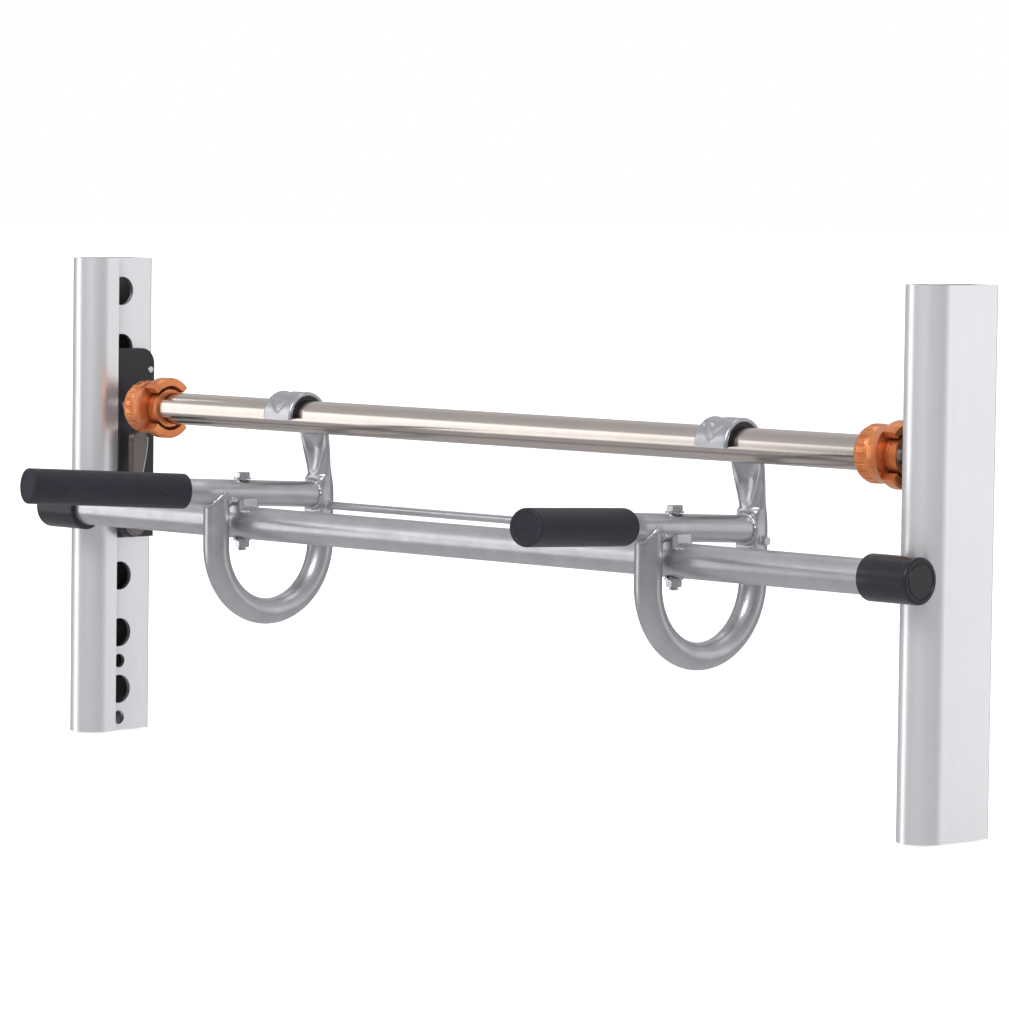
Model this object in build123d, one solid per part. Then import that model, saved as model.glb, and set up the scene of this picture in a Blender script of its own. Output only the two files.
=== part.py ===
from build123d import *
import math
import os

# Leverage pull-up and dip frame, hooked over the crossbar of a rack between two uprights.
# Millimetres. +X runs along the crossbar to the right, +Y to the back, +Z up.
# The origin is on the crossbar's axis, midway between the two upright webs.

# Uprights: aluminium extrusion with a half-round nose and a recessed web with a row of holes
upright_top = 150.0
upright_foot = -333.0
web_x = 553.6
lip_x = 545.6
outer_x = 589.6
lip_y = -10.7
upright_rear = 40.3
nose_r = (outer_x - lip_x) / 2
nose_y = -24.2
upright_wall = 4.5
corner_r = 3.0
hole_pitch = 58.2
hole_r = 14.5
hole_steps = range(-5, 3)
small_hole_r = 7.0
small_hole_steps = (-5.5, -4.5)

# Crossbar, its end spigots and the locking collars
crossbar_r = 15.875
tube_wall = 2.0
crossbar_end = 516.0
spigot_r = 7.5
spigot_plug = 21.0
flange = 3.0
running = 0.075
collar_starts = {"left": -522.0, "right": 478.7}
collar_length = 47.0
rib_r = 26.5
rib_length = 16.0
waist_r = 25.4
cone_end = 31.0
crown_r = 30.5
crown_inner_r = 22.5
hub_r = 19.0
lug_half_angle = 47.0
rib_count = 20

# Carriages that ride on the webs
slide_gap = 0.3
plate_thick = 8.3
plate_front = lip_y + 0.5
plate_rear = 37.0
plate_top = 58.0
plate_foot = -135.0
plate_corner_r = 16.0
plate_face_x = web_x - slide_gap - plate_thick
screw_y = 31.0
screw_heights = (36.0, -122.0)
screw_r = 2.0
screw_head_r = 3.4
screw_head = 1.4

# Latches: a pin pushed into an upright hole by a cam lever that turns about it
pin_r = 9.5
pin_length = 18.0
pin_draw = 0.4
seat_gap = 0.3
latch_z = -2 * hole_pitch - (hole_r - pin_r) + seat_gap
stem_r = 4.0
stem_length = 15.0
housing_r = 13.0
housing_length = 12.0
housing_end = 1.4
lever_thick = 6.6
lever_hub_r = 11.0
lever_top = -22.0
lever_rear_edge = ((6.5, -96.0), (6.5, -72.0), (11.0, -51.0), (13.0, -32.0))
trim_r = 1.2

# Hook-on frame
frame_x = 9.9
side_x = 295.5
tube_r = 12.7
strap_width = 40.0
strap_thick = 4.3
liner_gap = 0.33
liner_thick = 3.9
liner_width = 37.0
hook_r = crossbar_r + liner_gap + liner_thick + 0.02
hook_tip = -2.5
hook_lean = 12.0
strut_levels = ((-22.0, 26.9, 19.2, 3.6), (-42.0, 30.6, 16.4, 8.0))
leg_top = -66.0
hollow_top = -96.0
flat_y = 24.3
flat_span = (-93.0, -61.0)
rear_leg_y = 35.0
front_leg_y = -100.3
loop_r = (rear_leg_y - front_leg_y) / 2
loop_y = (rear_leg_y + front_leg_y) / 2
loop_z = -123.0
handle_z = -76.6
handle_rise = 2.8
handle_bend_y = -117.8
handle_splay = 14.6
handle_bend_r = 45.0
grip_gap = 18.3
grip_length = 168.0
grip_r = 17.2
grip_end = 6.0
plug_length = 15.0
front_bar_y = -67.5
front_bar_z = -102.2
front_bar_half = 587.2
sleeve_r = 20.8
sleeve_half = 590.7
sleeve_length = 57.0
rod_r = 3.9
rod_z = -88.3
rod_half = side_x + tube_r + 5.0

# Clamp bolts where the handle tubes cross the front bar
bolt_r = 4.0
bolt_hole_r = 4.4
washer_r = 8.5
washer_thick = 1.6
hex_flats = 13.0
bolt_head = 5.3
nut_height = 6.5
saddle_size = 25.0

SIDES = {"left": -1, "right": 1}


def along_x(radius, start, end, y=0.0, z=0.0):
    """Cylinder parallel to X between two X values."""
    length = end - start
    return Pos((start + end) / 2, y, z) * Rot(0, 90, 0) * Cylinder(radius, length)


def along_z(radius, start, end, x=0.0, y=0.0):
    """Cylinder parallel to Z between two Z values."""
    return Pos(x, y, (start + end) / 2) * Cylinder(radius, end - start)


def to_side(shape, side):
    """Shapes of the uprights and carriages are drawn on the right; the left is their mirror."""
    return shape if side > 0 else mirror(shape, about=Plane.YZ)


def handle_height(y):
    """Height of a handle tube's axis, which rises a little towards the front."""
    return handle_z - y * math.tan(math.radians(handle_rise))


def upright(side):
    front = RadiusArc((lip_x, nose_y), (outer_x, nose_y), -nose_r)
    back = Polyline(
        (outer_x, nose_y),
        (outer_x, upright_rear),
        (web_x, upright_rear),
        (web_x, lip_y),
        (lip_x, lip_y),
        (lip_x, nose_y),
    )
    outline = make_face([front, back])
    rear_corners = [v for v in outline.vertices() if v.Y > upright_rear - 1]
    outline = fillet(rear_corners, corner_r)
    cavity = offset(outline, amount=-upright_wall)
    height = upright_top - upright_foot
    body = Pos(0, 0, upright_foot) * extrude(outline - cavity, height)
    for step in hole_steps:
        body -= along_x(hole_r, web_x - 1, web_x + upright_wall + 2, z=step * hole_pitch)
    for step in small_hole_steps:
        body -= along_x(small_hole_r, web_x - 1, web_x + upright_wall + 2, z=step * hole_pitch)
    return to_side(body, side)


def crossbar_tube():
    return along_x(crossbar_r, -crossbar_end, crossbar_end) - along_x(
        crossbar_r - tube_wall, -crossbar_end - 1, crossbar_end + 1
    )


def spigot(side):
    plug = along_x(crossbar_r - tube_wall, crossbar_end - spigot_plug, crossbar_end)
    rim = along_x(crossbar_r - 0.1, crossbar_end, crossbar_end + flange)
    pin = along_x(spigot_r, crossbar_end + flange, plate_face_x + plate_thick - 1.5)
    return to_side(plug + rim + pin, side)


def collar(start):
    """Locking collar: ribbed sleeve, cone and a crown of two lugs over a plain hub."""
    profile = Polyline(
        (0, crossbar_r + running),
        (0, rib_r - 5.0),
        (2.5, rib_r - 1.6),
        (6.0, rib_r),
        (rib_length - 2, rib_r),
        (rib_length + 2, waist_r),
        (cone_end - 6, waist_r + 1),
        (cone_end, crown_r - 1.5),
        (cone_end + 3, crown_r),
        (collar_length - 2, crown_r),
        (collar_length, crown_r - 2),
        (collar_length, crown_inner_r),
        (cone_end + 3, crown_inner_r),
        (cone_end + 3, hub_r),
        (collar_length - 1, hub_r),
        (collar_length - 1, crossbar_r + running),
        close=True,
    )
    body = revolve(make_face(profile), Axis.X)
    opening = 90 - lug_half_angle
    reach = crown_r + 10
    wedge_points = [(0, 0)]
    for angle in (-opening, 0, opening):
        turn = math.radians(angle)
        wedge_points.append((reach * math.cos(turn), reach * math.sin(turn)))
    wedge = make_face(Plane.YZ * Polyline(*wedge_points, close=True))
    notch = Pos(cone_end + 2, 0, 0) * extrude(wedge, collar_length)
    notch -= along_x(hub_r, 0, 3 * collar_length)
    body -= notch
    body -= Rot(180, 0, 0) * notch
    for rib in range(rib_count):
        groove = along_x(1.5, 2.0, rib_length, z=rib_r + 0.5)
        body -= Rot(rib * 360 / rib_count, 0, 0) * groove
    return Pos(start, 0, 0) * body


def carriage_plate(side):
    height = plate_top - plate_foot
    depth = plate_rear - plate_front
    plate = Pos(
        plate_face_x + plate_thick / 2, (plate_front + plate_rear) / 2, (plate_top + plate_foot) / 2
    ) * Box(plate_thick, depth, height)
    top_rear = plate.edges().filter_by(Axis.X).sort_by(Axis.Z)[-2:].sort_by(Axis.Y)[-1]
    plate = fillet(top_rear, plate_corner_r)
    rim = plate.faces().sort_by(Axis.X)[0].edges()
    plate = fillet(rim, 1.5)
    outer = plate_face_x + plate_thick + 1
    plate -= along_x(spigot_r + 0.1, plate_face_x - 1, outer)
    plate -= along_x(pin_r + 0.05, plate_face_x - 1, outer, z=latch_z)
    for z in screw_heights:
        plate -= along_x(screw_r + 0.05, plate_face_x - 1, plate_face_x + 5, y=screw_y, z=z)
    return to_side(plate, side)


def carriage_screws():
    screws = []
    for side in SIDES.values():
        for z in screw_heights:
            head = along_x(screw_head_r, plate_face_x - screw_head, plate_face_x, y=screw_y, z=z)
            head = fillet(head.edges().sort_by(Axis.X)[0], 1.0)
            shank = along_x(screw_r, plate_face_x, plate_face_x + 4.5, y=screw_y, z=z)
            screws.append(to_side(head + shank, side))
    return Compound(children=screws)


def latch_housing(side):
    inner = plate_face_x - housing_length
    shell = along_x(housing_r, inner, plate_face_x, z=latch_z)
    shell = fillet(shell.edges().sort_by(Axis.X)[0], 2.0)
    shell -= along_x(pin_r + 0.05, inner + housing_end, plate_face_x + 1, z=latch_z)
    shell -= along_x(stem_r + 0.1, inner - 1, plate_face_x, z=latch_z)
    return to_side(shell, side)


def latch_pin(side):
    """Drawn back at rest: its tip is just inside the plate's back face."""
    tip_end = plate_face_x + plate_thick - pin_draw
    tip_start = tip_end - pin_length
    tip = along_x(pin_r, tip_start, tip_end, z=latch_z)
    tip = chamfer(tip.edges().sort_by(Axis.X)[-1], 1.5)
    stem = along_x(stem_r, tip_start - stem_length, tip_start, z=latch_z)
    stem = fillet(stem.edges().sort_by(Axis.X)[0], 1.5)
    return to_side(tip + stem, side)


def lever_x():
    """Outer face of a lever, next to its housing."""
    return plate_face_x - housing_length - slide_gap


def latch_lever(side):
    rear = Spline(*lever_rear_edge)
    front_foot = (-lever_rear_edge[0][0], lever_rear_edge[0][1])
    front_top = (-lever_rear_edge[0][0] - 0.5, lever_rear_edge[-1][1])
    top = RadiusArc(lever_rear_edge[-1], front_top, -(lever_rear_edge[-1][0] - front_top[0]) / 1.9)
    sides = Polyline(front_top, front_foot, lever_rear_edge[0])
    blade = make_face([rear, top, sides])
    foot = Pos(0, (latch_z + lever_rear_edge[0][1]) / 2) * Rectangle(
        2 * lever_rear_edge[0][0], lever_rear_edge[0][1] - latch_z
    )
    hub = Pos(0, latch_z) * Circle(lever_hub_r)
    flat = blade + foot + hub
    body = extrude(Plane.YZ.offset(lever_x() - lever_thick) * flat, lever_thick)
    body = fillet(body.edges().filter_by_position(Axis.X, lever_x() - lever_thick - 0.1,
                                                  lever_x() - lever_thick + 0.1), 1.5)
    body -= along_x(stem_r + 0.05, lever_x() - 20, lever_x() + 1, z=latch_z)
    return to_side(body, side)


def lever_trim(side):
    """Polished bead along the lever's rear edge."""
    x = lever_x() - lever_thick / 2
    points = [(x, y + trim_r + 0.15, z) for y, z in lever_rear_edge]
    path = Spline(*points)
    bead = sweep(Plane(origin=path @ 0, z_dir=path % 0) * Circle(trim_r), path)
    return to_side(bead, side)


def strut_outline():
    """Outer solid of a side tube's upper part: hook strap, flattened strut and round rear leg.

    The strap leaves the crossbar at a lean, opens out into the round leg over the strut's levels
    (height, middle Y, half width, half thickness), and is pressed flat where the handle tube meets it.
    """
    outer = hook_r + strap_thick
    ring = along_x(outer, -strap_width / 2, strap_width / 2) - along_x(hook_r, -60, 60)
    ring -= Pos(0, -outer, hook_tip - outer) * Box(2 * strap_width, 2 * outer, 2 * outer)
    lean_down = Rot(hook_lean, 0, 0) * Pos(0, outer, -outer) * Box(2 * strap_width, 2 * outer, 2 * outer)
    ring -= lean_down
    ring -= Pos(0, 0, -2 * outer) * Box(2 * strap_width, 4 * outer, 2 * outer)
    ring = ring.solids().sort_by(SortBy.VOLUME)[-1]
    tip_corners = ring.faces().sort_by(Axis.Y)[:4].sort_by(Axis.Z)[0].edges().filter_by(Axis.Y)
    ring = chamfer(tip_corners, 1.5)
    mid = hook_r + strap_thick / 2
    lean = math.radians(hook_lean)
    leave = Vector(0, mid * math.cos(lean), mid * math.sin(lean))
    sections = [Plane(origin=leave, z_dir=(0, -math.sin(lean), math.cos(lean))) * Ellipse(
        strap_width / 2, strap_thick / 2)]
    for z, y, half_width, half_thick in strut_levels:
        sections.append(Plane(origin=(0, y, z)) * Ellipse(half_width, half_thick))
    sections.append(Plane(origin=(0, rear_leg_y, leg_top)) * Circle(tube_r))
    leg = along_z(tube_r, loop_z, leg_top, y=rear_leg_y)
    low, high = flat_span
    pressed = Pos(0, flat_y - 10, (low + high) / 2) * Box(60, 20, high - low)
    bar_room = along_x(hook_r, -60, 60)
    return ring + (loft(sections) - bar_room) + leg - pressed


def hook_liner(side):
    """Rubber lining between a hook strap and the crossbar."""
    half = liner_width / 2
    ring = along_x(hook_r - 0.02, -half, half) - along_x(crossbar_r + liner_gap, -60, 60)
    ring -= Pos(0, -50, hook_tip + 0.8 - 50) * Box(100, 100, 100)
    ring -= Rot(hook_lean, 0, 0) * Pos(0, 0, -50) * Box(100, 100, 100)
    return to_frame_side(ring.solids().sort_by(SortBy.VOLUME)[-1], side)


def loop_part(radius):
    """Half ring of a loop and its front leg."""
    section = Plane(origin=(0, rear_leg_y, loop_z)) * Circle(radius)
    bend = revolve(section, Axis((0, loop_y, loop_z), (1, 0, 0)), -180)
    leg = along_z(radius, loop_z, handle_height(front_leg_y), y=front_leg_y)
    return bend + leg


def handle_frame(distance):
    """Plane across the right handle's axis, at a distance past its bend."""
    rise = math.radians(handle_rise)
    splay = math.radians(handle_splay)
    level = math.cos(rise)
    forward = Vector(math.sin(splay) * level, -math.cos(splay) * level, math.sin(rise))
    bend = Vector(0, handle_bend_y, handle_height(handle_bend_y))
    return Plane(origin=bend + forward * distance, z_dir=forward)


def handle_solid(radius, end_length):
    """Solid rod along a handle's axis, from the rear leg to a distance past the bend."""
    start = Vector(0, rear_leg_y, handle_height(rear_leg_y))
    path = FilletPolyline(
        start, handle_frame(0).origin, handle_frame(end_length).origin, radius=handle_bend_r
    )
    return sweep(Plane(origin=path @ 0, z_dir=path % 0) * Circle(radius), path)


def bolt_axis(side):
    return frame_x + side * side_x


def to_frame_side(shape, side):
    """Shapes of a side frame are drawn for the right one, at X 0; the left is their mirror."""
    return Pos(bolt_axis(side), 0, 0) * to_side(shape, side)


def side_tube(side):
    """Hook, strut and loop: one bent tube, flattened at the top, cut to fit under its handle tube."""
    inner_r = tube_r - tube_wall
    hollow = loop_part(inner_r) + along_z(inner_r, loop_z, hollow_top, y=rear_leg_y)
    body = strut_outline() + loop_part(tube_r) - hollow
    body -= handle_solid(tube_r + 0.02, grip_gap)
    body -= along_x(rod_r + 0.02, -40, 40, y=rear_leg_y, z=rod_z)
    return to_frame_side(body.solids().sort_by(SortBy.VOLUME)[-1], side)


def handle_tube(side):
    end_length = grip_gap + grip_length - grip_end
    body = handle_solid(tube_r, end_length) - handle_solid(tube_r - tube_wall, end_length + 1)
    body -= strut_outline()
    body -= along_z(bolt_hole_r, -150, 0, y=front_bar_y)
    return to_frame_side(body.solids().sort_by(SortBy.VOLUME)[-1], side)


def grip(side):
    """Foam grip with a closed front end."""
    plane = handle_frame(grip_gap)
    foam = plane * extrude(Circle(grip_r), grip_length)
    foam = fillet(foam.edges().filter_by(GeomType.CIRCLE), 3.0)
    bore = plane * (Pos(0, 0, -1) * extrude(Circle(tube_r + 0.05), grip_length - grip_end + 1.1))
    return to_frame_side(foam - bore, side)


def handle_plug(side):
    """Plug inside the front end of a handle tube."""
    plane = handle_frame(grip_gap + grip_length - grip_end - plug_length)
    plug = plane * extrude(Circle(tube_r - tube_wall - 0.05), plug_length - 0.2)
    return to_frame_side(plug, side)


def front_bar():
    start = frame_x - front_bar_half
    end = frame_x + front_bar_half
    body = along_x(crossbar_r, start, end, front_bar_y, front_bar_z)
    body -= along_x(crossbar_r - tube_wall, start - 1, end + 1, front_bar_y, front_bar_z)
    for side in SIDES.values():
        body -= along_z(bolt_hole_r, -150, -60, x=bolt_axis(side), y=front_bar_y)
    return body


def bar_sleeve(side):
    """End sleeve that bears on an upright's nose."""
    outer_end = side * sleeve_half
    inner_end = side * (sleeve_half - sleeve_length)
    low, high = sorted((outer_end, inner_end))
    shell = along_x(sleeve_r, low, high, front_bar_y, front_bar_z)
    shell = fillet(shell.edges().filter_by(GeomType.CIRCLE), 2.5)
    low, high = sorted((side * (front_bar_half + 0.05), inner_end - side))
    shell -= along_x(crossbar_r + 0.05, low, high, front_bar_y, front_bar_z)
    return Pos(frame_x, 0, 0) * shell


def bar_plug(side):
    """Plug inside an end of the front bar, behind its sleeve."""
    low, high = sorted((side * (front_bar_half - 20), side * (front_bar_half - 0.2)))
    return along_x(crossbar_r - tube_wall - 0.05, frame_x + low, frame_x + high, front_bar_y, front_bar_z)


def cross_rod():
    return along_x(rod_r, frame_x - rod_half, frame_x + rod_half, rear_leg_y, rod_z)


def bolt_levels():
    """Heights of the washer seats: on top of a handle tube and under the front bar."""
    top = handle_height(front_bar_y) + tube_r + 0.6
    bottom = front_bar_z - crossbar_r - 0.1
    return top, bottom


def frame_saddles():
    """Saddle spacers in the corner between each handle tube and the front bar."""
    block = Pos(0, front_bar_y, front_bar_z + crossbar_r) * Box(saddle_size, saddle_size, 16)
    block = fillet(block.edges().filter_by(Axis.Z), 4.0)
    block -= handle_solid(tube_r + 0.1, grip_gap)
    block -= along_x(crossbar_r + 0.1, -40, 40, front_bar_y, front_bar_z)
    block -= along_z(bolt_hole_r, -150, 0, y=front_bar_y)
    return Compound(children=[to_frame_side(s, side) for side in SIDES.values() for s in block.solids()])


def frame_washers():
    top, bottom = bolt_levels()
    washers = []
    for side in SIDES.values():
        for start in (top, bottom - washer_thick):
            x = bolt_axis(side)
            ring = along_z(washer_r, start, start + washer_thick, x=x, y=front_bar_y)
            washers.append(ring - along_z(bolt_r + 0.2, start - 1, start + 5, x=x, y=front_bar_y))
    return Compound(children=washers)


def hexagon(x, start, height):
    """Hexagon head or nut with its top and bottom corners turned off."""
    prism = extrude(RegularPolygon(hex_flats / 2, 6, major_radius=False), height)
    turned = Pos(0, 0, height / 2) * Cylinder(hex_flats * 0.57, height)
    return Pos(x, front_bar_y, start) * (prism & chamfer(turned.edges(), 0.9))


def frame_bolts():
    top, bottom = bolt_levels()
    bolts = []
    for side in SIDES.values():
        x = bolt_axis(side)
        head = hexagon(x, top + washer_thick, bolt_head)
        shank = along_z(bolt_r, bottom - washer_thick - nut_height - 3, top + washer_thick, x=x, y=front_bar_y)
        bolts.append(head + shank)
    return Compound(children=bolts)


def frame_nuts():
    top, bottom = bolt_levels()
    nuts = []
    for side in SIDES.values():
        x = bolt_axis(side)
        start = bottom - washer_thick - nut_height
        bore = along_z(bolt_r + 0.02, start - 1, start + 20, x=x, y=front_bar_y)
        nuts.append(hexagon(x, start, nut_height) - bore)
    return Compound(children=nuts)


def all_parts():
    parts = {
        "crossbar_tube": crossbar_tube(),
        "carriage_screws": carriage_screws(),
        "front_bar": front_bar(),
        "cross_rod": cross_rod(),
        "frame_saddles": frame_saddles(),
        "frame_washers": frame_washers(),
        "frame_bolts": frame_bolts(),
        "frame_nuts": frame_nuts(),
    }
    pairs = {
        "upright": upright,
        "spigot": spigot,
        "carriage_plate": carriage_plate,
        "latch_housing": latch_housing,
        "latch_pin": latch_pin,
        "latch_lever": latch_lever,
        "lever_trim": lever_trim,
        "side_tube": side_tube,
        "hook_liner": hook_liner,
        "handle_tube": handle_tube,
        "grip": grip,
        "handle_plug": handle_plug,
        "bar_sleeve": bar_sleeve,
        "bar_plug": bar_plug,
    }
    for side, sign in SIDES.items():
        for name, make in pairs.items():
            parts[f"{name}_{side}"] = make(sign)
        parts[f"collar_{side}"] = collar(collar_starts[side])
    return parts


os.makedirs("parts", exist_ok=True)
for name, shape in all_parts().items():
    export_step(shape, f"parts/{name}.step")
    print(name, "written")
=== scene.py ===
import bpy
import math
from mathutils import Matrix, Vector, noise


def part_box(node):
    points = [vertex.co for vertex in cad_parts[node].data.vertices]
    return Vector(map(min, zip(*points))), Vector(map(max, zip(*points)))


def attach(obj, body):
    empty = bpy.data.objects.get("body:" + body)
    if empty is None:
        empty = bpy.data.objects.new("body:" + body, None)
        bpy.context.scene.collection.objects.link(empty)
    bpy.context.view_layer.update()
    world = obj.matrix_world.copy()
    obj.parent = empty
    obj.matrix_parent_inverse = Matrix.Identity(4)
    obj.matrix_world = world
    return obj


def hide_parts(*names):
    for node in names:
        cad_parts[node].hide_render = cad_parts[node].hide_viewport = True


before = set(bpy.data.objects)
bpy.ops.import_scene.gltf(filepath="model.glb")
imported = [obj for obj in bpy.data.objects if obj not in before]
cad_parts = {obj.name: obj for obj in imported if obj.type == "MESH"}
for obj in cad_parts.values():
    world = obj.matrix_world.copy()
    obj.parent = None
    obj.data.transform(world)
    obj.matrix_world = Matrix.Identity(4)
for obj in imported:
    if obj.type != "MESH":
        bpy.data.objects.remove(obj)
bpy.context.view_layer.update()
print("CAD model loaded")

mm = 0.001
sides = {"left": -1, "right": 1}


# materials

def makeMetal(matName, look):  # bare or coated: patches, drawn lines, grain, painted shade in hollows
    mat = bpy.data.materials.new(matName)
    mat.use_nodes = True
    nodes, links = mat.node_tree.nodes, mat.node_tree.links
    nodes.clear()
    output = nodes.new("ShaderNodeOutputMaterial")
    output.label = "Out"
    shader = nodes.new("ShaderNodeBsdfPrincipled")
    shader.label = "Metal surface"
    place = nodes.new("ShaderNodeTexCoord")
    place.label = "Place on the piece"
    patches = nodes.new("ShaderNodeTexNoise")
    patches.label = "Cloudy patches"
    patchTint = nodes.new("ShaderNodeValToRGB")
    patchTint.label = "Patch tint"
    stretch = nodes.new("ShaderNodeMapping")
    stretch.label = "Stretch along the lines"
    drawn = nodes.new("ShaderNodeTexNoise")
    drawn.label = "Drawn lines"
    drawnTint = nodes.new("ShaderNodeMix")
    drawnTint.label = "Lines darken the tint"
    sheenRange = nodes.new("ShaderNodeMapRange")
    sheenRange.label = "Roughness from lines"
    grain = nodes.new("ShaderNodeTexNoise")
    grain.label = "Fine grain"
    lineBump = nodes.new("ShaderNodeBump")
    lineBump.label = "Line relief"
    grainBump = nodes.new("ShaderNodeBump")
    grainBump.label = "Grain relief"
    groups = {
        "Colour": (patches, patchTint, drawnTint),
        "Drawn lines": (stretch, drawn, sheenRange),
        "Relief": (grain, lineBump, grainBump),
    }
    # painted shade: an occlusion mask darkens inside corners and hollows towards a dark tint
    if "hollowReach" in look:
        hollow = nodes.new("ShaderNodeAmbientOcclusion")
        hollow.label = "Inside corners"
        hollowTint = nodes.new("ShaderNodeMix")
        hollowTint.label = "Painted shade inside"
        groups["Hollows"] = (hollow, hollowTint)
    for row, (title, members) in enumerate(groups.items()):
        box = nodes.new("NodeFrame")
        box.label = title
        for column, node in enumerate(members):
            node.parent = box
            node.location = (-900 + 260 * column, 420 - 420 * row)
    place.location = (-1250, 0)
    shader.location = (600, 120)
    output.location = (920, 120)

    patches.inputs["Scale"].default_value = look["patchScale"]
    patches.inputs["Detail"].default_value = 5
    patches.inputs["Roughness"].default_value = 0.6
    patchTint.color_ramp.elements[0].position = 0.3
    patchTint.color_ramp.elements[0].color = (*look["darkTint"], 1)
    patchTint.color_ramp.elements[1].position = 0.72
    patchTint.color_ramp.elements[1].color = (*look["tint"], 1)
    stretch.inputs["Scale"].default_value = look["lineScale"]
    drawn.inputs["Scale"].default_value = 1
    drawn.inputs["Detail"].default_value = 4
    drawnTint.data_type = "RGBA"
    drawnTint.blend_type = "MULTIPLY"
    drawnTint.inputs["Factor"].default_value = look["lineTint"]
    sheenRange.inputs["From Min"].default_value = 0.3
    sheenRange.inputs["From Max"].default_value = 0.7
    sheenRange.inputs["To Min"].default_value = look["roughness"] - look["roughSpread"]
    sheenRange.inputs["To Max"].default_value = look["roughness"] + look["roughSpread"]
    grain.inputs["Scale"].default_value = look["grainScale"]
    grain.inputs["Detail"].default_value = 3
    lineBump.inputs["Strength"].default_value = look["lineRelief"]
    lineBump.inputs["Distance"].default_value = look.get("lineDepth", 0.05) * mm
    grainBump.inputs["Strength"].default_value = look["grainRelief"]
    grainBump.inputs["Distance"].default_value = 0.1 * mm
    shader.inputs["Metallic"].default_value = look["metallic"]
    shader.inputs["Coat Weight"].default_value = look.get("coat", 0)
    shader.inputs["Coat Roughness"].default_value = 0.25
    if "hollowReach" in look:
        hollow.samples = 8
        hollow.only_local = True
        hollow.inputs["Distance"].default_value = look["hollowReach"] * mm
        hollowTint.data_type = "RGBA"
        hollowTint.inputs["A"].default_value = (*look["hollowTint"], 1)

    links.new(place.outputs["Object"], patches.inputs["Vector"])
    links.new(place.outputs["Object"], stretch.inputs["Vector"])
    links.new(place.outputs["Object"], grain.inputs["Vector"])
    links.new(stretch.outputs["Vector"], drawn.inputs["Vector"])
    links.new(patches.outputs["Fac"], patchTint.inputs["Fac"])
    links.new(patchTint.outputs["Color"], drawnTint.inputs["A"])
    links.new(drawn.outputs["Color"], drawnTint.inputs["B"])
    if "hollowReach" in look:
        links.new(hollow.outputs["AO"], hollowTint.inputs["Factor"])
        links.new(drawnTint.outputs["Result"], hollowTint.inputs["B"])
        links.new(hollowTint.outputs["Result"], shader.inputs["Base Color"])
    else:
        links.new(drawnTint.outputs["Result"], shader.inputs["Base Color"])
    links.new(drawn.outputs["Fac"], sheenRange.inputs["Value"])
    links.new(sheenRange.outputs["Result"], shader.inputs["Roughness"])
    links.new(drawn.outputs["Fac"], lineBump.inputs["Height"])
    links.new(grain.outputs["Fac"], grainBump.inputs["Height"])
    links.new(lineBump.outputs["Normal"], grainBump.inputs["Normal"])
    links.new(grainBump.outputs["Normal"], shader.inputs["Normal"])
    links.new(shader.outputs["BSDF"], output.inputs["Surface"])
    return mat


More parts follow.
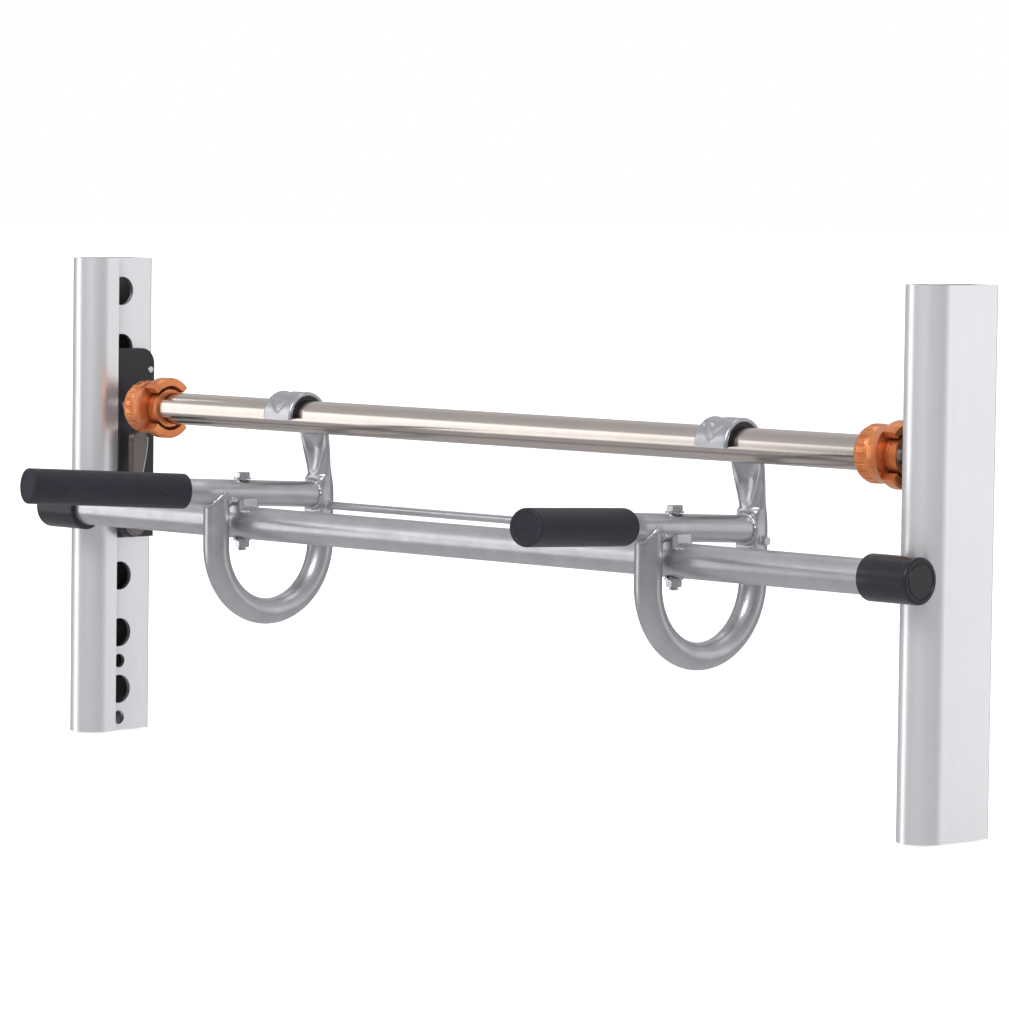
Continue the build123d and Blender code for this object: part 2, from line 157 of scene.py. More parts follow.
def makeBlack(matName, look):  # moulded plastic, rubber and foam: dust tint, cells or grain
    mat = bpy.data.materials.new(matName)
    mat.use_nodes = True
    nodes, links = mat.node_tree.nodes, mat.node_tree.links
    nodes.clear()
    output = nodes.new("ShaderNodeOutputMaterial")
    output.label = "Out"
    shader = nodes.new("ShaderNodeBsdfPrincipled")
    shader.label = "Dark surface"
    place = nodes.new("ShaderNodeTexCoord")
    place.label = "Place on the piece"
    wear = nodes.new("ShaderNodeTexNoise")
    wear.label = "Handling marks"
    wearTint = nodes.new("ShaderNodeValToRGB")
    wearTint.label = "Tint of the marks"
    cells = nodes.new("ShaderNodeTexVoronoi")
    cells.label = "Cells"
    cellEdge = nodes.new("ShaderNodeMapRange")
    cellEdge.label = "Cell depth"
    speck = nodes.new("ShaderNodeMix")
    speck.label = "Pale cell rims"
    roughRange = nodes.new("ShaderNodeMapRange")
    roughRange.label = "Roughness from marks"
    grain = nodes.new("ShaderNodeTexNoise")
    grain.label = "Fine grain"
    cellBump = nodes.new("ShaderNodeBump")
    cellBump.label = "Cell relief"
    grainBump = nodes.new("ShaderNodeBump")
    grainBump.label = "Grain relief"
    groups = {
        "Colour": (wear, wearTint, speck),
        "Cells": (cells, cellEdge, roughRange),
        "Relief": (grain, cellBump, grainBump),
    }
    for row, (title, members) in enumerate(groups.items()):
        box = nodes.new("NodeFrame")
        box.label = title
        for column, node in enumerate(members):
            node.parent = box
            node.location = (-900 + 260 * column, 420 - 420 * row)
    place.location = (-1250, 0)
    shader.location = (100, 120)
    output.location = (420, 120)

    wear.inputs["Scale"].default_value = look["wearScale"]
    wear.inputs["Detail"].default_value = 6
    wearTint.color_ramp.elements[0].position = 0.35
    wearTint.color_ramp.elements[0].color = (*look["tint"], 1)
    wearTint.color_ramp.elements[1].position = 0.75
    wearTint.color_ramp.elements[1].color = (*look["wornTint"], 1)
    cells.feature = "F1"
    cells.inputs["Scale"].default_value = look["cellScale"]
    cellEdge.inputs["From Min"].default_value = 0.05
    cellEdge.inputs["From Max"].default_value = 0.75
    cellEdge.inputs["To Min"].default_value = 0
    cellEdge.inputs["To Max"].default_value = 1
    speck.data_type = "RGBA"
    speck.inputs["B"].default_value = (*look["speckTint"], 1)
    roughRange.inputs["To Min"].default_value = look["roughness"] - 0.06
    roughRange.inputs["To Max"].default_value = look["roughness"] + 0.06
    grain.inputs["Scale"].default_value = look["grainScale"]
    grain.inputs["Detail"].default_value = 3
    cellBump.inputs["Strength"].default_value = look["cellRelief"]
    cellBump.inputs["Distance"].default_value = 0.3 * mm
    cellBump.invert = True
    grainBump.inputs["Strength"].default_value = look["grainRelief"]
    grainBump.inputs["Distance"].default_value = 0.15 * mm
    shader.inputs["Specular IOR Level"].default_value = look["specular"]
    shader.inputs["Coat Weight"].default_value = look.get("coat", 0)
    shader.inputs["Coat Roughness"].default_value = 0.12

    links.new(place.outputs["Object"], wear.inputs["Vector"])
    links.new(place.outputs["Object"], cells.inputs["Vector"])
    links.new(place.outputs["Object"], grain.inputs["Vector"])
    links.new(wear.outputs["Fac"], wearTint.inputs["Fac"])
    links.new(cells.outputs["Distance"], cellEdge.inputs["Value"])
    links.new(wearTint.outputs["Color"], speck.inputs["A"])
    links.new(cells.outputs["Distance"], speck.inputs["Factor"])
    links.new(speck.outputs["Result"], shader.inputs["Base Color"])
    links.new(wear.outputs["Fac"], roughRange.inputs["Value"])
    links.new(roughRange.outputs["Result"], shader.inputs["Roughness"])
    links.new(cellEdge.outputs["Result"], cellBump.inputs["Height"])
    links.new(grain.outputs["Fac"], grainBump.inputs["Height"])
    links.new(cellBump.outputs["Normal"], grainBump.inputs["Normal"])
    links.new(grainBump.outputs["Normal"], shader.inputs["Normal"])
    links.new(shader.outputs["BSDF"], output.inputs["Surface"])
    return mat


silverCoat = makeMetal("silver_coat", {
    "tint": (0.56, 0.56, 0.585), "darkTint": (0.48, 0.48, 0.505), "patchScale": 38,
    "lineScale": (90, 90, 90), "lineTint": 0.06, "metallic": 0.9, "roughness": 0.34, "roughSpread": 0.04,
    "grainScale": 900, "grainRelief": 0.1, "lineRelief": 0.05,
})
hookZinc = makeMetal("hook_zinc", {
    "tint": (0.54, 0.54, 0.565), "darkTint": (0.45, 0.45, 0.475), "patchScale": 50,
    "lineScale": (120, 120, 120), "lineTint": 0.08, "metallic": 0.9, "roughness": 0.32, "roughSpread": 0.04,
    "grainScale": 700, "grainRelief": 0.14, "lineRelief": 0.08,
})
nickelTube = makeMetal("champagne_nickel", {
    "tint": (0.60, 0.54, 0.50), "darkTint": (0.54, 0.485, 0.445), "patchScale": 5,
    "lineScale": (60, 4, 4), "lineTint": 0.03, "metallic": 1.0, "roughness": 0.2, "roughSpread": 0.02,
    "grainScale": 1500, "grainRelief": 0.01, "lineRelief": 0.0,
})
uprightAlu = makeMetal("upright_aluminium", {
    "tint": (0.90, 0.90, 0.92), "darkTint": (0.84, 0.84, 0.86), "patchScale": 3,
    "lineScale": (220, 220, 1.5), "lineTint": 0.015, "metallic": 0.85, "roughness": 0.35, "roughSpread": 0.02,
    "grainScale": 1800, "grainRelief": 0.03, "lineRelief": 0.0,
    # painted shade: near-black darkening inside the upright's channel
    "hollowReach": 45, "hollowTint": (0.01, 0.01, 0.012),
})
zincSteel = makeMetal("zinc_fasteners", {
    "tint": (0.66, 0.67, 0.70), "darkTint": (0.54, 0.55, 0.57), "patchScale": 120,
    "lineScale": (300, 300, 300), "lineTint": 0.08, "metallic": 1.0, "roughness": 0.28, "roughSpread": 0.04,
    "grainScale": 1500, "grainRelief": 0.08, "lineRelief": 0.06,
})
weldMetal = makeMetal("weld_bead", {
    "tint": (0.60, 0.60, 0.62), "darkTint": (0.40, 0.40, 0.42), "patchScale": 160,
    "lineScale": (400, 400, 400), "lineTint": 0.12, "metallic": 0.9, "roughness": 0.36, "roughSpread": 0.06,
    "grainScale": 900, "grainRelief": 0.4, "lineRelief": 0.3,
})
orangeAnodised = makeMetal("orange_anodised", {
    "tint": (0.90, 0.34, 0.12), "darkTint": (0.68, 0.19, 0.065), "patchScale": 90,
    "lineScale": (330, 9, 9), "lineTint": 0.25, "metallic": 0.7, "roughness": 0.3, "roughSpread": 0.06,
    "grainScale": 900, "grainRelief": 0.2, "lineRelief": 0.9, "lineDepth": 1.1, "coat": 0.15,
    # painted shade: red-brown darkening in the collar's grooves and recesses
    "hollowReach": 7, "hollowTint": (0.2, 0.035, 0.015),
})
polishedTrim = makeMetal("polished_trim", {
    "tint": (0.88, 0.88, 0.88), "darkTint": (0.80, 0.80, 0.80), "patchScale": 40,
    "lineScale": (300, 300, 20), "lineTint": 0.05, "metallic": 1.0, "roughness": 0.14, "roughSpread": 0.02,
    "grainScale": 1500, "grainRelief": 0.03, "lineRelief": 0.05,
})
mouldedBlack = makeBlack("moulded_black", {
    "tint": (0.017, 0.017, 0.021), "wornTint": (0.026, 0.026, 0.031), "speckTint": (0.022, 0.022, 0.026),
    "wearScale": 30, "cellScale": 900, "cellRelief": 0.12, "grainScale": 1200, "grainRelief": 0.2,
    "roughness": 0.4, "specular": 0.35,
})
# dark gloss lever; its brown tint is a painted reflection of dark brown surroundings
leverDarkPaintedReflection = makeBlack("lever_bronze", {
    "tint": (0.05, 0.036, 0.031), "wornTint": (0.08, 0.06, 0.052), "speckTint": (0.07, 0.052, 0.044),
    "wearScale": 25, "cellScale": 900, "cellRelief": 0.05, "grainScale": 1200, "grainRelief": 0.1,
    "roughness": 0.28, "specular": 0.6, "coat": 0.6,
})
sleeveRubber = makeBlack("sleeve_rubber", {
    "tint": (0.011, 0.011, 0.014), "wornTint": (0.02, 0.02, 0.024), "speckTint": (0.015, 0.015, 0.019),
    "wearScale": 40, "cellScale": 1100, "cellRelief": 0.06, "grainScale": 1500, "grainRelief": 0.12,
    "roughness": 0.28, "specular": 0.3,
})
gripFoam = makeBlack("grip_foam", {
    "tint": (0.008, 0.008, 0.013), "wornTint": (0.015, 0.015, 0.022), "speckTint": (0.024, 0.024, 0.034),
    "wearScale": 45, "cellScale": 850, "cellRelief": 0.6, "grainScale": 1300, "grainRelief": 0.35,
    "roughness": 0.46, "specular": 0.24,
})
print("materials made")


# CAD nodes that keep their shape

nodeFinish = {
    "upright": uprightAlu, "crossbar_tube": nickelTube, "spigot": zincSteel, "carriage_plate": mouldedBlack,
    "carriage_screws": zincSteel, "latch_housing": mouldedBlack, "latch_pin": zincSteel,
    "latch_lever": leverDarkPaintedReflection, "lever_trim": polishedTrim, "collar": orangeAnodised,
    "side_tube": silverCoat, "hook_liner": sleeveRubber, "handle_tube": silverCoat,
    "front_bar": silverCoat, "cross_rod": silverCoat,
    "bar_sleeve": sleeveRubber, "bar_plug": mouldedBlack, "grip": gripFoam, "handle_plug": mouldedBlack,
    "frame_saddles": silverCoat, "frame_washers": zincSteel,
    "frame_bolts": zincSteel, "frame_nuts": zincSteel,
}
for nodeName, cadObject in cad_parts.items():
    base = nodeName.replace("_left", "").replace("_right", "")
    cadObject.data.materials.clear()
    cadObject.data.materials.append(nodeFinish[base])
print("finishes given to the CAD nodes")


# mesh helpers

def finishPiece(name, verts, faces, material, body, sharpDeg=35):
    mesh = bpy.data.meshes.new(name)
    mesh.from_pydata(verts, [], faces)
    mesh.validate()
    mesh.update()
    mesh.shade_smooth()
    mesh.set_sharp_from_angle(angle=math.radians(sharpDeg))
    mesh.materials.append(material)
    piece = bpy.data.objects.new(name, mesh)
    bpy.context.scene.collection.objects.link(piece)
    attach(piece, body)
    return piece


def skinRings(rings, capStart=True, capEnd=True, closed=False):  # rings of equal count become one skin
    verts = [point for ring in rings for point in ring]
    count = len(rings[0])
    faces = []
    last = len(rings) if closed else len(rings) - 1
    for row in range(last):
        nextRow = (row + 1) % len(rings)
        for k in range(count):
            nextK = (k + 1) % count
            faces.append((row * count + k, row * count + nextK, nextRow * count + nextK, nextRow * count + k))
    for ringIndex, wanted in ((0, capStart), (len(rings) - 1, capEnd)):
        if wanted and not closed:
            centre = sum((Vector(p) for p in rings[ringIndex]), Vector()) / count
            verts.append(centre)
            hub = len(verts) - 1
            for k in range(count):
                pair = (ringIndex * count + k, ringIndex * count + (k + 1) % count)
                faces.append((hub, pair[1], pair[0]) if ringIndex == 0 else (hub, pair[0], pair[1]))
    return verts, faces


def latheRings(profile, origin, axis, count=96):  # profile: (along the axis, radius)
    axis = Vector(axis).normalized()
    across = axis.orthogonal().normalized()
    third = axis.cross(across)
    rings = []
    for along, radius in profile:
        middle = Vector(origin) + axis * along
        turns = [2 * math.pi * k / count for k in range(count)]
        rings.append([middle + (across * math.cos(a) + third * math.sin(a)) * radius for a in turns])
    return rings


def smoothStep(low, high, value):
    share = min(1, max(0, (value - low) / (high - low)))
    return share * share * (3 - 2 * share)


# side tubes: hook strap, pressed strut and loop, bent from one tube

sideTube = {
    "tubeRadius": 12.7 * mm, "strapHalf": 20 * mm, "strapThick": 4.3 * mm, "hookTip": -2.5 * mm,
    "leanDeg": 12, "leanEase": (0.85, 0.3), "legTop": -66 * mm,
    "openRange": (16 * mm, 80 * mm), "loopHeight": -123 * mm,
    "flatRange": (60 * mm, 95 * mm), "flatEase": (3 * mm, 2 * mm), "flatDepth": 2.0 * mm, "flatSquareness": 5,
    "facet": 5.5 * mm, "facetDepth": 1.0 * mm, "facetBorder": (15 * mm, 19 * mm),
    "tongueTop": -17 * mm, "tongueEnd": -64 * mm, "tongueHalf": 17 * mm, "tongueDepth": 4.2 * mm,
    "tongueTaper": 0.85, "pointsAround": 112,
    "hookSteps": 60, "strutSteps": 100, "loopSteps": 72, "legSteps": 12,
}


def strapOutline(half, thick, radius, count):  # rounded strip, evenly spaced points from the +X end
    straight = 2 * (half - radius)
    side = 2 * (thick / 2 - radius)
    arc = math.pi * radius / 2
    total = 2 * straight + 2 * side + 4 * arc
    points = []
    for k in range(count):
        run = (k / count * total + side + straight + 2 * arc) % total
        corners = ((-1, -1), (1, -1), (1, 1), (-1, 1))
        legs = (side, straight, side, straight)
        for index in range(4):
            sx, sn = corners[index]
            centre = (sx * (half - radius), sn * (thick / 2 - radius))
            start = math.pi + index * math.pi / 2
            if run <= arc:
                turn = start + run / radius
                points.append((centre[0] + radius * math.cos(turn), centre[1] + radius * math.sin(turn)))
                break
            run -= arc
            length = legs[(index + 1) % 4]
            if run <= length:
                turn = start + math.pi / 2
                base = (centre[0] + radius * math.cos(turn), centre[1] + radius * math.sin(turn))
                step = (-math.sin(turn), math.cos(turn))
                points.append((base[0] + step[0] * run, base[1] + step[1] * run))
                break
            run -= length
    return points


def sideTubeStations(low, high):  # middle line as (y, z, tangent y, tangent z)
    v = sideTube
    arch = high.z - v["strapThick"] / 2
    legRear = high.y - v["tubeRadius"]
    legFront = low.y + v["tubeRadius"]
    stations = []
    tipAngle, endAngle = math.asin(v["hookTip"] / arch), math.pi - math.radians(v["leanDeg"])
    for k in range(v["hookSteps"] + 1):
        turn = tipAngle + (endAngle - tipAngle) * k / v["hookSteps"]
        stations.append((-arch * math.cos(turn), arch * math.sin(turn), math.sin(turn), math.cos(turn)))
    startY, startZ = stations[-1][:2]
    straightEnd, easeLength = v["leanEase"]

    def strutY(z):  # a straight lean that eases into the upright leg
        run = (startZ - z) / (startZ - v["legTop"])
        ease = min(1, max(0, (run - straightEnd) / easeLength))
        share = min(run, straightEnd) + easeLength / 2 * (2 * ease - ease * ease)
        return startY + (legRear - startY) * share

    halfStep = 0.5 * mm
    for k in range(1, v["strutSteps"] + 1):
        z = startZ + (v["loopHeight"] - startZ) * k / v["strutSteps"]
        slope = Vector((strutY(z - halfStep) - strutY(z + halfStep), -2 * halfStep)).normalized()
        stations.append((strutY(z), z, slope.x, slope.y))
    bend = (legRear - legFront) / 2
    middle = (legRear + legFront) / 2
    for k in range(1, v["loopSteps"] + 1):
        turn = math.pi * k / v["loopSteps"]
        stations.append((middle + bend * math.cos(turn), v["loopHeight"] - bend * math.sin(turn),
                         -math.sin(turn), -math.cos(turn)))
    return stations, legFront


def sideTubeRings(nodeName, handleHeight):
    v = sideTube
    low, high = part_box(nodeName)
    middleX = (low.x + high.x) / 2
    stations, legFront = sideTubeStations(low, high)
    front = high.y - 2 * v["tubeRadius"]
    top = handleHeight(legFront)
    for k in range(1, v["legSteps"] + 1):
        z = v["loopHeight"] + (top - v["loopHeight"]) * k / v["legSteps"]
        stations.append((legFront, z, 0, 1))
    strap = strapOutline(v["strapHalf"], v["strapThick"], v["strapThick"] / 2 - 0.05 * mm, v["pointsAround"])
    count = len(strap)
    arch = high.z - v["strapThick"] / 2
    rings = []
    for index, (y, z, ty, tz) in enumerate(stations):
        onHook = index <= v["hookSteps"]
        onStrut = not onHook and index <= v["hookSteps"] + v["strutSteps"]
        opened = smoothStep(*v["openRange"], -z) if onStrut else float(not onHook)
        pressed = 0
        if onStrut:
            start, end = v["flatRange"]
            outside, inside = v["flatEase"]
            pressed = smoothStep(start - outside, start + inside, -z)
            pressed *= 1 - smoothStep(end - inside, end + outside, -z)
        outward = (-tz, ty)
        around = arch * math.acos(max(-1, min(1, -y / arch))) if onHook else 0
        ring = []
        for k, (s, n) in enumerate(strap):
            turn = 2 * math.pi * k / count
            cs, cn = v["tubeRadius"] * math.cos(turn), v["tubeRadius"] * math.sin(turn)
            if pressed and cn < 0:  # the front is squared up behind the handle's end
                power = 2 / (2 + v["flatSquareness"] * pressed)
                cs = v["tubeRadius"] * math.copysign(abs(math.cos(turn)) ** power, cs)
                cn = -v["tubeRadius"] * abs(math.sin(turn)) ** power
            ps, pn = s + (cs - s) * opened, n + (cn - n) * opened
            if pn > 0 and onHook:  # pressed diamonds on the outside of the hook
                wave = abs(abs(abs(ps) - around % (4 * v["facet"]) + 2 * v["facet"]) / v["facet"] - 1)
                edge = 1 - smoothStep(*v["facetBorder"], abs(ps))
                pn -= v["facetDepth"] * (1 - smoothStep(0, 1, wave)) * edge * smoothStep(1, 8, index)
            if pn < 0 and onStrut and v["tongueEnd"] < z < v["tongueTop"]:  # pressed tongue in the front
                down = (z - v["tongueTop"]) / (v["tongueEnd"] - v["tongueTop"])
                half = v["tongueHalf"] * (1 - v["tongueTaper"] * down)
                if abs(ps) < half:
                    depth = min(v["tongueDepth"], 1.1 * abs(pn)) * (1 - (abs(ps) / half) ** 2)
                    pn += depth * math.sin(math.pi * min(1, 0.12 + 1.1 * down)) ** 0.5
            point = Vector((middleX + ps, y + outward[0] * pn, z + outward[1] * pn))
            if pressed:
                point.y = max(point.y, front + v["flatDepth"] * pressed)
            ring.append(point)
        rings.append(ring)
    return rings


# handles: where their axes run

handle = {
    "splayDeg": 14.6, "riseDeg": 2.8, "gripGap": 18.3 * mm, "tubeRadius": 12.7 * mm,
    "weldRadius": 2.4 * mm, "ripples": 19, "rippleSwell": 0.07, "unevenness": 0.16,
    "rodWeldRadius": 1.5 * mm, "weldSink": 0.2 * mm, "weldSteps": 260,
}


def handleLine(side):  # grip centre and direction along the grip
    sign = sides[side]
    low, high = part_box("grip_" + side)
    centre = (low + high) / 2
    splay, rise = math.radians(handle["splayDeg"]), math.radians(handle["riseDeg"])
    level = math.cos(rise)
    along = Vector((sign * math.sin(splay) * level, -math.cos(splay) * level, math.sin(rise)))
    return centre, along


grip = {
    "radius": 17.2 * mm, "length": 168 * mm, "rearRound": 3.6 * mm, "frontRound": 2.4 * mm,
    "wobble": 0.12 * mm, "dish": 0.7 * mm, "steps": 40,
}


def gripPiece(side):
    centre, along = handleLine(side)
    start = centre - along * grip["length"] / 2
    radius, length = grip["radius"], grip["length"]
    rear, front = grip["rearRound"], grip["frontRound"]
    profile = [(0.6 * mm, handle["tubeRadius"] + 0.1 * mm), (0.1 * mm, radius - rear - 0.4 * mm)]
    for k in range(9):
        turn = math.pi / 2 * k / 8
        profile.append((rear - rear * math.cos(turn), radius - rear + rear * math.sin(turn)))
    for k in range(1, grip["steps"]):
        profile.append((rear + (length - rear - front) * k / grip["steps"], radius))
    for k in range(9):
        turn = math.pi / 2 * k / 8
        profile.append((length - front + front * math.sin(turn), radius - front + front * math.cos(turn)))
    profile.append((length - 0.1 * mm, radius - front - 0.8 * mm))
    profile.append((length - grip["dish"], radius - front - 1.6 * mm))
    profile += [(length - grip["dish"], radius * share) for share in (0.6, 0.35, 0.1)]
    rings = latheRings(profile, start, along, 72)
    for ring in rings:
        middle = sum(ring, Vector()) / len(ring)
        for k, point in enumerate(ring):
            ring[k] = point - (point - middle).normalized() * grip["wobble"] * (1 + noise.noise(point * 60))
    verts, faces = skinRings(rings, capStart=False)
    piece = finishPiece("foam_grip_" + side, verts, faces, gripFoam, "hook_frame")
    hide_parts("grip_" + side)
    return piece


def bendPoint(side):
    centre, along = handleLine(side)
    return centre - along * (grip["length"] / 2 + handle["gripGap"])


def heightOnHandle(side):  # height of the straight rear part of a handle at a given y
    bend = bendPoint(side)
    slope = math.tan(math.radians(handle["riseDeg"]))
    return lambda y: bend.z - (y - bend.y) * slope


def beadRings(curve, radius, count=14):  # a bead that follows a closed curve
    rings = []
    total = len(curve)
    for k, point in enumerate(curve):
        tangent = (curve[(k + 1) % total] - curve[k - 1]).normalized()
        if k == 0:
            across = tangent.orthogonal().normalized()
        else:
            across = (across - tangent * across.dot(tangent)).normalized()
        third = tangent.cross(across)
        ripple = math.sin(2 * math.pi * handle["ripples"] * k / total)
        swell = 1 + handle["rippleSwell"] * ripple + handle["unevenness"] * noise.noise(point * 220)
        turns = [2 * math.pi * j / count for j in range(count)]
        rings.append([point + (across * math.cos(a) + third * math.sin(a)) * radius * swell for a in turns])
    return rings


def weldPieces(side):
    low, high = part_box("side_tube_" + side)
    middleX = (low.x + high.x) / 2
    radius = handle["tubeRadius"]
    rearY, frontY = high.y - radius, low.y + radius
    height = heightOnHandle(side)
    sink = handle["weldSink"]
    turns = [2 * math.pi * k / handle["weldSteps"] for k in range(handle["weldSteps"])]
    seatY = rearY - radius + sideTube["flatDepth"] - sink
    reach = radius + sink
    strutCurve = [
        Vector((middleX + reach * math.cos(a), seatY, height(seatY) + reach * math.sin(a))) for a in turns
    ]
    legCurve = [
        Vector((middleX + radius * math.cos(a), frontY + radius * math.sin(a),
                height(frontY + radius * math.sin(a)) - radius * abs(math.sin(a)) - sink)) for a in turns
    ]
    for name, curve in (("strut_weld_", strutCurve), ("loop_weld_", legCurve)):
        verts, faces = skinRings(beadRings(curve, handle["weldRadius"]), closed=True)
        finishPiece(name + side, verts, faces, weldMetal, "hook_frame", 80)
    rodLow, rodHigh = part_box("cross_rod")
    rodRadius = (rodHigh.z - rodLow.z) / 2
    rodZ = (rodHigh.z + rodLow.z) / 2
    for face, step in (("inner", -1), ("outer", 1)):
        x = middleX + sides[side] * step * (radius - 0.6 * mm)
        curve = [Vector((x, rearY + rodRadius * math.cos(a), rodZ + rodRadius * math.sin(a))) for a in turns]
        verts, faces = skinRings(beadRings(curve, handle["rodWeldRadius"], 10), closed=True)
        finishPiece(f"rod_weld_{face}_{side}", verts, faces, weldMetal, "hook_frame", 80)


for side in sides:
    verts, faces = skinRings(sideTubeRings("side_tube_" + side, heightOnHandle(side)))
    tube = finishPiece("hook_and_loop_" + side, verts, faces, hookZinc, "hook_frame", 50)
    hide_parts("side_tube_" + side)
    gripPiece(side)
    weldPieces(side)
print("side tubes, grips and welds made")


# end sleeves of the front bar

sleeve = {
    "lip": 1.2 * mm, "edge": 2.4 * mm, "ringOuter": 16.2 * mm, "ringInner": 15.0 * mm, "ringDepth": 0.7 * mm,
}


def sleevePiece(side):
    low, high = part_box("bar_sleeve_" + side)
    radius = (high.z - low.z) / 2
    length = high.x - low.x
    sign = sides[side]
    origin = Vector((low.x if sign > 0 else high.x, (low.y + high.y) / 2, (low.z + high.z) / 2))
    barRadius = (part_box("front_bar")[1].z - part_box("front_bar")[0].z) / 2
    lip, edge = sleeve["lip"], sleeve["edge"]
    profile = [(2 * mm, barRadius + 0.05 * mm), (0, barRadius + 0.3 * mm), (0, radius - lip)]
    for turn in (0.4, 0.8, 1.2, math.pi / 2):
        profile.append((lip - lip * math.cos(turn), radius - lip + lip * math.sin(turn)))
    profile += [(length * share, radius) for share in (0.3, 0.6, 0.9)]
    for k in range(9):
        turn = math.pi / 2 * k / 8
        profile.append((length - edge + edge * math.sin(turn), radius - edge + edge * math.cos(turn)))
    profile += [(length, sleeve["ringOuter"] + 0.4 * mm), (length - sleeve["ringDepth"], sleeve["ringOuter"]),
                (length - sleeve["ringDepth"], sleeve["ringInner"]), (length, sleeve["ringInner"] - 0.4 * mm),
                (length, 6 * mm), (length, 1 * mm)]
    verts, faces = skinRings(latheRings(profile, origin, (sign, 0, 0)), capStart=False)
    piece = finishPiece("end_sleeve_" + side, verts, faces, sleeveRubber, "hook_frame")
    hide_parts("bar_sleeve_" + side)


for side in sides:
    sleevePiece(side)
print("end sleeves made")


# stage, light and camera

stageLook = {
    "floorGap": 2 * mm, "floorSize": 40, "floorTint": 0.95, "floorGlow": 0.75, "roomStrength": 0.8,
    "roomStops": ((0.0, 0.75), (0.38, 0.60), (0.49, 0.34), (0.60, 0.60), (0.75, 0.9), (1.0, 0.55)),
    "lights": {  # place, aim, size, watts
        "key": ((1.2, -3.2, 2.6), (0, 0, -0.1), (2.4, 1.6), 95),
        "fill": ((-3.2, -2.6, 0.2), (0, 0, -0.1), (1.6, 3.2), 26),
        "side": ((3.0, 2.8, 0.2), (0, 0, -0.1), (1.5, 2.4), 9),
        "top": ((0, 0.8, 3.2), (0, 0, 0), (4.0, 1.2), 20),
    },
}


def makeStage():
    low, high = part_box("upright_left")
    size = stageLook["floorSize"]
    mesh = bpy.data.meshes.new("floor")
    z = low.z - stageLook["floorGap"]
    corners = [(-size, -size, z), (size, -size, z), (size, size, z), (-size, size, z)]
    mesh.from_pydata(corners, [], [(0, 1, 2, 3)])
    floor = bpy.data.objects.new("floor", mesh)
    bpy.context.scene.collection.objects.link(floor)
    mat = bpy.data.materials.new("pale_floor")
    mat.use_nodes = True
    nodes, links = mat.node_tree.nodes, mat.node_tree.links
    nodes.clear()
    output = nodes.new("ShaderNodeOutputMaterial")
    output.label = "Out"
    output.location = (500, 0)
    surface = nodes.new("ShaderNodeBsdfDiffuse")
    surface.label = "Matt paper"
    surface.location = (0, 100)
    surface.inputs["Color"].default_value = (*[stageLook["floorTint"]] * 3, 1)
    glow = nodes.new("ShaderNodeEmission")
    glow.label = "Lit from below"
    glow.location = (0, -100)
    glow.inputs["Strength"].default_value = stageLook["floorGlow"]
    both = nodes.new("ShaderNodeAddShader")
    both.label = "Pale sweep"
    both.location = (250, 0)
    links.new(surface.outputs["BSDF"], both.inputs[0])
    links.new(glow.outputs["Emission"], both.inputs[1])
    links.new(both.outputs["Shader"], output.inputs["Surface"])
    mesh.materials.append(mat)
    floor.visible_glossy = False


def makeLight(name, place, target, size, power):
    data = bpy.data.lights.new(name, "AREA")
    data.shape = "RECTANGLE"
    data.size, data.size_y = size
    data.energy = power
    lamp = bpy.data.objects.new(name, data)
    lamp.location = place
    lamp.rotation_euler = (Vector(target) - Vector(place)).to_track_quat("-Z", "Y").to_euler()
    bpy.context.scene.collection.objects.link(lamp)


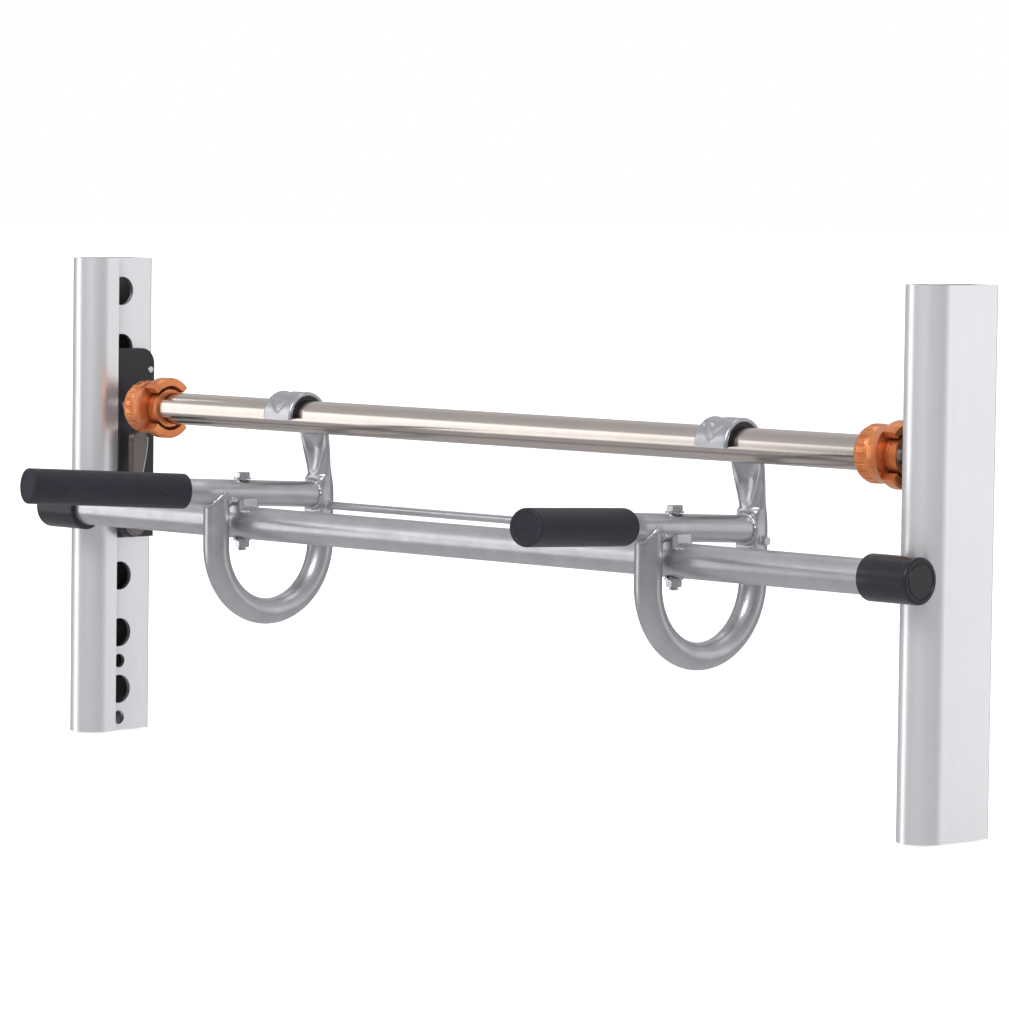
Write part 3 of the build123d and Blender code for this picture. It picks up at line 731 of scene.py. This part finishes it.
def makeWorld():
    world = bpy.data.worlds.new("soft_room")
    bpy.context.scene.world = world
    world.use_nodes = True
    nodes, links = world.node_tree.nodes, world.node_tree.links
    nodes.clear()
    output = nodes.new("ShaderNodeOutputWorld")
    output.label = "Out"
    output.location = (900, 0)
    place = nodes.new("ShaderNodeTexCoord")
    place.label = "Direction"
    place.location = (-700, 0)
    split = nodes.new("ShaderNodeSeparateXYZ")
    split.label = "Height"
    split.location = (-500, 0)
    ramp = nodes.new("ShaderNodeValToRGB")
    ramp.label = "Room from floor to ceiling"
    ramp.location = (-250, 0)
    shift = nodes.new("ShaderNodeMapRange")
    shift.label = "Down to up"
    shift.location = (-380, 200)
    room = nodes.new("ShaderNodeBackground")
    room.label = "Room light"
    room.location = (200, 100)
    white = nodes.new("ShaderNodeBackground")
    white.label = "White backdrop"
    white.location = (200, -100)
    seen = nodes.new("ShaderNodeLightPath")
    seen.label = "What the lens sees"
    seen.location = (200, 400)
    pick = nodes.new("ShaderNodeMixShader")
    pick.label = "Backdrop or room"
    pick.location = (600, 0)
    shift.inputs["From Min"].default_value = -1
    stops = stageLook["roomStops"]
    while len(ramp.color_ramp.elements) < len(stops):
        ramp.color_ramp.elements.new(0.5)
    for element, (position, level) in zip(ramp.color_ramp.elements, stops):
        element.position = position
        element.color = (level, level, level * 1.02, 1)
    room.inputs["Strength"].default_value = stageLook["roomStrength"]
    white.inputs["Strength"].default_value = 1.0
    white.inputs["Color"].default_value = (1, 1, 1, 1)
    links.new(place.outputs["Generated"], split.inputs["Vector"])
    links.new(split.outputs["Z"], shift.inputs["Value"])
    links.new(shift.outputs["Result"], ramp.inputs["Fac"])
    links.new(ramp.outputs["Color"], room.inputs["Color"])
    links.new(seen.outputs["Is Camera Ray"], pick.inputs["Fac"])
    links.new(room.outputs["Background"], pick.inputs[1])
    links.new(white.outputs["Background"], pick.inputs[2])
    links.new(pick.outputs["Shader"], output.inputs["Surface"])


cameraSetup = {
    "place": (3.5711, -3.4001, 0.2410), "turnDeg": 46.29, "tiltDeg": -3.625, "rollDeg": 0.741,
    "lens": 186.5, "sensor": 36,
}


def makeCamera():
    turn, tilt = math.radians(cameraSetup["turnDeg"]), math.radians(cameraSetup["tiltDeg"])
    roll = math.radians(cameraSetup["rollDeg"])
    ahead = Vector((-math.sin(turn) * math.cos(tilt), math.cos(turn) * math.cos(tilt), math.sin(tilt)))
    right = Vector((math.cos(turn), math.sin(turn), 0))
    up = right.cross(ahead)
    rolledRight = right * math.cos(roll) + up * math.sin(roll)
    rolledUp = up * math.cos(roll) - right * math.sin(roll)
    data = bpy.data.cameras.new("camera")
    data.lens = cameraSetup["lens"]
    data.sensor_width = cameraSetup["sensor"]
    data.clip_end = 200
    camera = bpy.data.objects.new("camera", data)
    basis = Matrix((rolledRight, rolledUp, -ahead)).transposed().to_4x4()
    camera.matrix_world = Matrix.Translation(cameraSetup["place"]) @ basis
    bpy.context.scene.collection.objects.link(camera)
    bpy.context.scene.camera = camera


makeStage()
for lampName, (place, target, size, power) in stageLook["lights"].items():
    makeLight(lampName, place, target, size, power)
makeWorld()
makeCamera()
bpy.context.scene.view_settings.view_transform = "Standard"
print("stage, lights and camera set")
